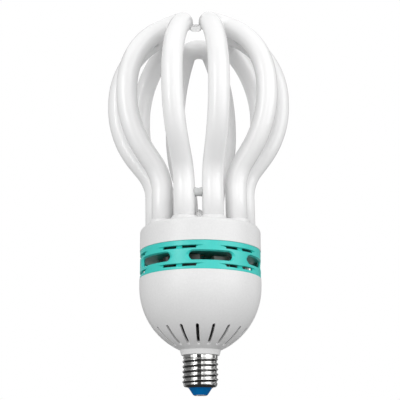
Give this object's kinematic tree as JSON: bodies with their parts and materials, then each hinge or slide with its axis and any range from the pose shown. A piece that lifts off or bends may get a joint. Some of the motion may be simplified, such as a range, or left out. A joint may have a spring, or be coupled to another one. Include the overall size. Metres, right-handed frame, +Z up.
{
  "type": "energy saving bulb",
  "caption": "Large fluorescent screw-cap lamp with bent U-tubes opening like a lotus above a white ballast housing with a teal vent ring.",
  "frame": {"origin": "middle of the centre contact's flat tip, at the cap end of the lamp's axis", "axes": "+Z up the lamp's axis from the cap to the tubes, -Y towards the side that the picture shows, +X to that side's right"},
  "size_m": [0.1412, 0.1363, 0.291],
  "materials": {
    "white_housing": "satin moulded plastic",
    "teal_plastic": "satin moulded plastic",
    "coated_glass": "glossy glass with a white coat inside",
    "clear_glass": "clear fused glass",
    "silicone": "translucent silicone",
    "cement": "matt white cement",
    "plated_cap": "bright nickel plate",
    "blue_insulator": "smooth moulded insulator",
    "contact_metal": "plain soldered contact",
    "shield_plastic": "satin moulded plastic plate",
    "board_laminate": "brown phenolic laminate",
    "capacitor_sleeve": "shrink sleeve",
    "ferrite": "dark ferrite",
    "bobbin_plastic": "plain moulded bobbin",
    "copper_wire": "enamelled copper wire",
    "choke_sleeve": "black shrink sleeve",
    "film_block": "dipped dark resin",
    "transistor_resin": "black moulded resin",
    "sink_aluminium": "plain sheet",
    "diode_resin": "black moulded resin",
    "thermistor_coat": "dipped pale resin",
    "fuse_coat": "ceramic coat",
    "tinned_wire": "tinned wire",
    "lead_insulation_black": "black insulated lead",
    "lead_insulation_white": "white insulated lead"
  },
  "bodies": {
    "root": {"centre_contact": "contact_metal", "cap_insulator": "blue_insulator", "screw_shell": "plated_cap", "lower_housing": "white_housing", "vent_ring": "teal_plastic", "tube_holder": "white_housing", "discharge_tube_1": "coated_glass", "discharge_tube_2": "coated_glass", "discharge_tube_3": "coated_glass", "discharge_tube_4": "coated_glass", "discharge_tube_5": "coated_glass", "glass_bridges": "clear_glass", "silicone_joints": "silicone", "tube_cement": "cement", "heat_shield": "shield_plastic", "filament_leads": "tinned_wire", "wire_posts": "tinned_wire", "circuit_board": "board_laminate", "bulk_capacitor": "capacitor_sleeve", "choke_core": "ferrite", "choke_bobbin": "bobbin_plastic", "choke_winding": "copper_wire", "filter_choke": "choke_sleeve", "drive_toroid": "ferrite", "film_capacitors": "film_block", "power_transistors": "transistor_resin", "heat_sink": "sink_aluminium", "rectifier_diodes": "diode_resin", "thermistor": "thermistor_coat", "fuse": "fuse_coat", "live_lead": "lead_insulation_black", "neutral_lead": "lead_insulation_white"}
  },
  "joints": []
}
